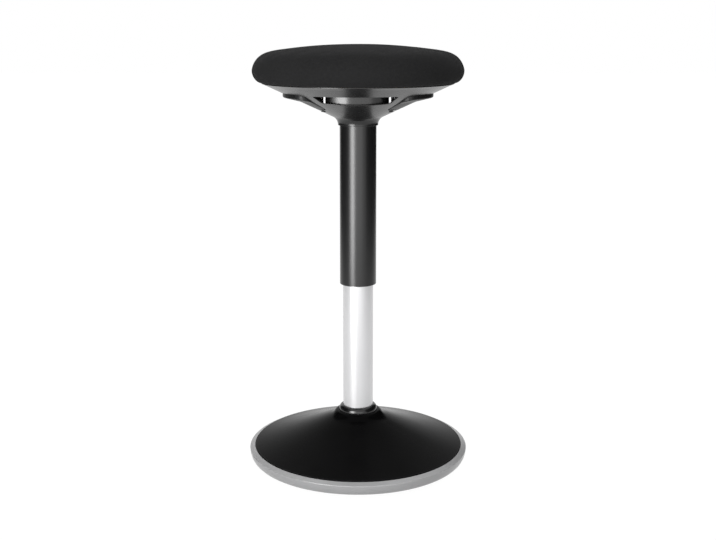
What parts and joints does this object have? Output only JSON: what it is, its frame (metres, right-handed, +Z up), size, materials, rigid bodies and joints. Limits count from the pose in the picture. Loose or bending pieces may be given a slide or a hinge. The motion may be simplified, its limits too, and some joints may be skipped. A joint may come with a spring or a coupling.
{
  "type": "balance stool",
  "caption": "Round padded balance stool on a height-adjustable, swivelling gas spring column, with lift-up release paddles under the seat and a weighted round rocking base.",
  "frame": {"origin": "on the floor, on the column's axis, under the middle of the flat part of the sole", "axes": "+Z up along the column, -Y is the side that faces the viewer in the picture"},
  "size_m": [0.364, 0.364, 0.7018],
  "materials": {
    "fabric": "woven",
    "black_plastic": "satin, fine grain",
    "gloss_plastic": "glossy",
    "grey_plastic": "satin",
    "rubber": "matt",
    "black_paint": "satin powder coat",
    "silver_paint": "bright silver",
    "steel": "plain",
    "zinc": "bright zinc",
    "cast_iron": "rough",
    "plywood": "bare plywood",
    "nylon": "natural"
  },
  "bodies": {
    "base": {"base_dome": "black_plastic", "base_ring": "grey_plastic", "base_sole": "rubber", "base_weight": "cast_iron", "column_socket": "steel", "column_tube": "silver_paint", "column_collar": "gloss_plastic", "guide_bush": "nylon", "bearing_lower_race": "steel", "ball_cage": "steel", "base_screw_1": "zinc", "base_screw_2": "zinc", "base_screw_3": "zinc", "base_screw_4": "zinc"},
    "rod": {"piston_rod": "zinc", "piston": "steel", "bearing_upper_race": "steel", "rod_bumper": "rubber", "rod_washer": "zinc", "rod_clip": "steel"},
    "seat": {"seat_bowl": "black_plastic", "seat_cushion": "fabric", "seat_pan": "plywood", "mounting_plate": "steel", "cone_socket": "steel", "gas_cylinder": "black_paint", "sleeve_tube": "black_paint", "sleeve_bush": "nylon", "sleeve_ring": "black_plastic", "rocker_pin_left": "zinc", "rocker_pin_right": "zinc", "plate_screw_1": "zinc", "plate_screw_2": "zinc", "plate_screw_3": "zinc", "plate_screw_4": "zinc", "seat_post_1": "zinc", "seat_post_2": "zinc", "seat_post_3": "zinc", "seat_post_4": "zinc"},
    "release": {"release_hub": "gloss_plastic", "paddle_left": "black_plastic", "paddle_right": "black_plastic", "paddle_screw_left": "zinc", "paddle_screw_right": "zinc"},
    "rocker_left": {"rocker_left": "steel"},
    "rocker_right": {"rocker_right": "steel"},
    "valve_pin": {"valve_pin": "steel"}
  },
  "joints": [
    {"name": "seat_swivel", "type": "hinge", "parent": "base", "child": "rod", "pos_m": [0, 0, 0.034], "axis": [0, 0, 1], "continuous": true},
    {"name": "seat_height", "type": "slide", "parent": "rod", "child": "seat", "axis": [0, 0, 1], "range_m": [-0.09, 0.15]},
    {"name": "release_lift", "type": "slide", "parent": "seat", "child": "release", "axis": [0, 0, 1], "range_m": [0, 0.005], "stiffness_N_per_m": 3000, "springref_m": -0.003},
    {"name": "rocker_left_turn", "type": "hinge", "parent": "seat", "child": "rocker_left", "pos_m": [-0.01759, 0.00068, 0.6205], "axis": [0.0384, 0.9993, 0], "range_deg": [0, 12]},
    {"name": "rocker_right_turn", "type": "hinge", "parent": "seat", "child": "rocker_right", "pos_m": [0.01759, -0.00068, 0.6205], "axis": [0.0384, 0.9993, 0], "range_deg": [-12, 0]},
    {"name": "valve_press", "type": "slide", "parent": "seat", "child": "valve_pin", "axis": [0, 0, 1], "range_m": [-0.003, 0]}
  ],
  "couplings": [
    {"joint": "rocker_left_turn", "follows": "release_lift", "rad_per_m": 40.984},
    {"joint": "rocker_right_turn", "follows": "release_lift", "rad_per_m": -40.984},
    {"joint": "valve_press", "follows": "release_lift", "ratio": -0.6}
  ]
}
